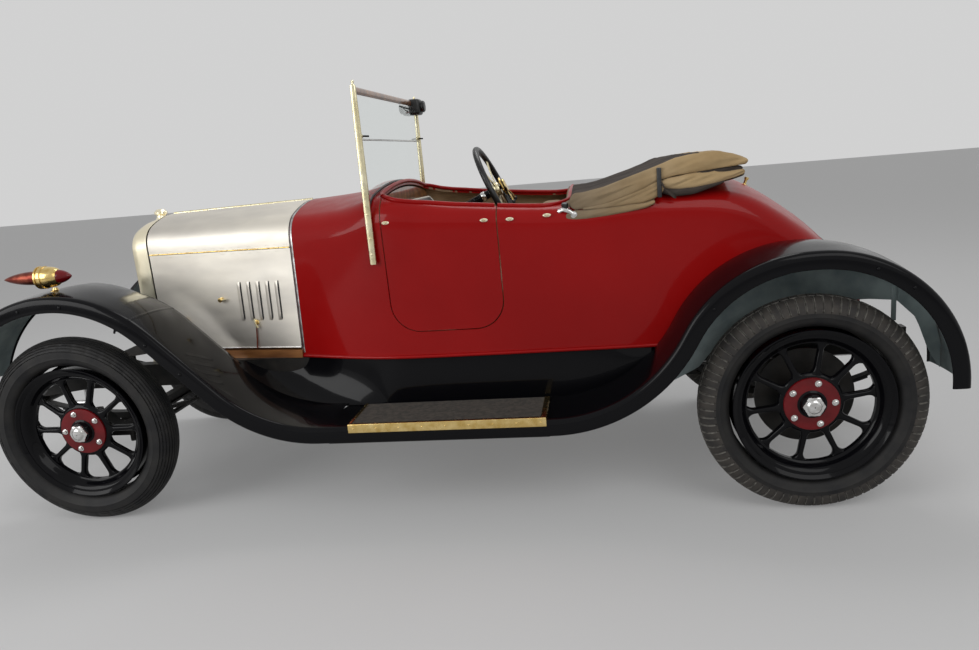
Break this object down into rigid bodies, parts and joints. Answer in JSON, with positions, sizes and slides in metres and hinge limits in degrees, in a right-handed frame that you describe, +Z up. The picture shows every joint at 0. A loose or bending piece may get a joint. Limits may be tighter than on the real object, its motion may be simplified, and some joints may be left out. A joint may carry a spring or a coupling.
{
  "type": "vintage open touring car",
  "caption": "Open two-seat vintage touring car with a polished bonnet, flowing black wings, spoked wheels, an upright screen and a folded hood behind the seats.",
  "frame": {"origin": "on the ground under the middle of the whole car", "axes": "+X to the front of the car, +Y to its left, +Z up"},
  "size_m": [3.774, 1.46, 1.63],
  "materials": {
    "body_red": "gloss",
    "floor_wood": "matt",
    "black_enamel": "gloss",
    "dash_wood": "varnished",
    "nickel": "polished",
    "radiator_core": "satin",
    "brass": "polished",
    "bonnet_aluminium": "polished",
    "steel": "satin",
    "tyre": "matt",
    "engine_iron": "matt",
    "step_rubber": "ribbed",
    "screen_frame": "gloss",
    "glass": "clear",
    "black_plastic": "satin",
    "tan_leather": "satin",
    "hood_canvas": "matt"
  },
  "bodies": {
    "car": {"scuttle": "body_red", "cockpit_sides": "body_red", "tail": "body_red", "floor_boards": "floor_wood", "bulkhead": "black_enamel", "dashboard": "dash_wood", "radiator_shell": "nickel", "radiator_core": "radiator_core", "radiator_cap": "nickel", "bonnet_rod": "brass", "bonnet_ledges": "dash_wood", "chassis_frame": "black_enamel", "starting_handle": "steel", "road_springs": "black_enamel", "front_axle": "black_enamel", "steering_column": "black_enamel", "rear_axle": "black_enamel", "engine_and_gearbox": "engine_iron", "torque_tube": "black_enamel", "exhaust": "steel", "front_wing_left": "black_enamel", "front_wing_right": "black_enamel", "rear_wing_left": "black_enamel", "rear_wing_right": "black_enamel", "running_boards": "black_enamel", "step_plates": "step_rubber", "valances": "black_enamel", "windscreen_frame": "screen_frame", "windscreen_glass": "glass", "wiper_motor": "black_plastic", "seat_base": "floor_wood", "seat_cushion": "tan_leather", "seat_back": "tan_leather", "pedals": "steel", "hand_levers": "nickel", "folded_hood": "hood_canvas", "side_lamps": "brass"},
    "door_left": {"door_left": "body_red"},
    "bonnet_top_left": {"bonnet_top_left": "bonnet_aluminium"},
    "bonnet_top_right": {"bonnet_top_right": "bonnet_aluminium"},
    "bonnet_side_left": {"bonnet_side_left": "bonnet_aluminium"},
    "bonnet_side_right": {"bonnet_side_right": "bonnet_aluminium"},
    "knuckle_left": {"knuckle_left": "black_enamel"},
    "knuckle_right": {"knuckle_right": "black_enamel"},
    "track_rod": {"track_rod": "black_enamel"},
    "steering_wheel": {"steering_wheel": "black_enamel"},
    "wheel_front_left": {"wheel_front_left": "black_enamel", "tyre_front_left": "tyre"},
    "wheel_front_right": {"wheel_front_right": "black_enamel", "tyre_front_right": "tyre"},
    "wheel_rear_left": {"wheel_rear_left": "black_enamel", "tyre_rear_left": "tyre"},
    "wheel_rear_right": {"wheel_rear_right": "black_enamel", "tyre_rear_right": "tyre"}
  },
  "joints": [
    {"name": "door_left", "type": "hinge", "parent": "car", "child": "door_left", "pos_m": [-0.3425, 0.50004, 0.8], "axis": [0, 0.0697, 0.9976], "range_deg": [0, 70]},
    {"name": "bonnet_top_left", "type": "hinge", "parent": "car", "child": "bonnet_top_left", "pos_m": [1.2, 0, 1.185], "axis": [0.9998, 0, -0.0208], "range_deg": [0, 50]},
    {"name": "bonnet_top_right", "type": "hinge", "parent": "car", "child": "bonnet_top_right", "pos_m": [1.2, 0, 1.185], "axis": [-0.9998, 0, 0.0208], "range_deg": [0, 50]},
    {"name": "bonnet_side_left", "type": "hinge", "parent": "bonnet_top_left", "child": "bonnet_side_left", "pos_m": [1.2, 0.25361, 1.035], "axis": [-0.9931, 0.1173, 0], "range_deg": [0, 50]},
    {"name": "bonnet_side_right", "type": "hinge", "parent": "bonnet_top_right", "child": "bonnet_side_right", "pos_m": [1.2, -0.25361, 1.035], "axis": [0.9931, 0.1173, 0], "range_deg": [0, 50]},
    {"name": "steer_left", "type": "hinge", "parent": "car", "child": "knuckle_left", "pos_m": [1.382, 0.522, 0.388], "axis": [0, 0, 1], "range_deg": [-30, 30]},
    {"name": "steer_right", "type": "hinge", "parent": "car", "child": "knuckle_right", "pos_m": [1.382, -0.522, 0.388], "axis": [0, 0, 1], "range_deg": [-30, 30]},
    {"name": "track_rod", "type": "hinge", "parent": "knuckle_left", "child": "track_rod", "pos_m": [1.242, 0.522, 0.32], "axis": [0, 0, 1], "range_deg": [-30, 30]},
    {"name": "steering_wheel", "type": "hinge", "parent": "car", "child": "steering_wheel", "pos_m": [-0.263, -0.225, 1.175], "axis": [-0.9135, 0, 0.4067], "range_deg": [-270, 270]},
    {"name": "roll_front_left", "type": "hinge", "parent": "knuckle_left", "child": "wheel_front_left", "pos_m": [1.382, 0.609, 0.388], "axis": [0, 0.9989, -0.0471], "continuous": true},
    {"name": "roll_front_right", "type": "hinge", "parent": "knuckle_right", "child": "wheel_front_right", "pos_m": [1.382, -0.609, 0.388], "axis": [0, 0.9989, 0.0471], "continuous": true},
    {"name": "roll_rear_left", "type": "hinge", "parent": "car", "child": "wheel_rear_left", "pos_m": [-1.412, 0.609, 0.388], "axis": [0, 1, 0], "continuous": true},
    {"name": "roll_rear_right", "type": "hinge", "parent": "car", "child": "wheel_rear_right", "pos_m": [-1.412, -0.609, 0.388], "axis": [0, 1, 0], "continuous": true}
  ],
  "couplings": [
    {"joint": "steer_right", "follows": "steer_left", "ratio": 1},
    {"joint": "track_rod", "follows": "steer_left", "ratio": -1},
    {"joint": "steering_wheel", "follows": "steer_left", "ratio": 9},
    {"joint": "bonnet_side_left", "follows": "bonnet_top_left", "ratio": 1},
    {"joint": "bonnet_side_right", "follows": "bonnet_top_right", "ratio": 1}
  ]
}
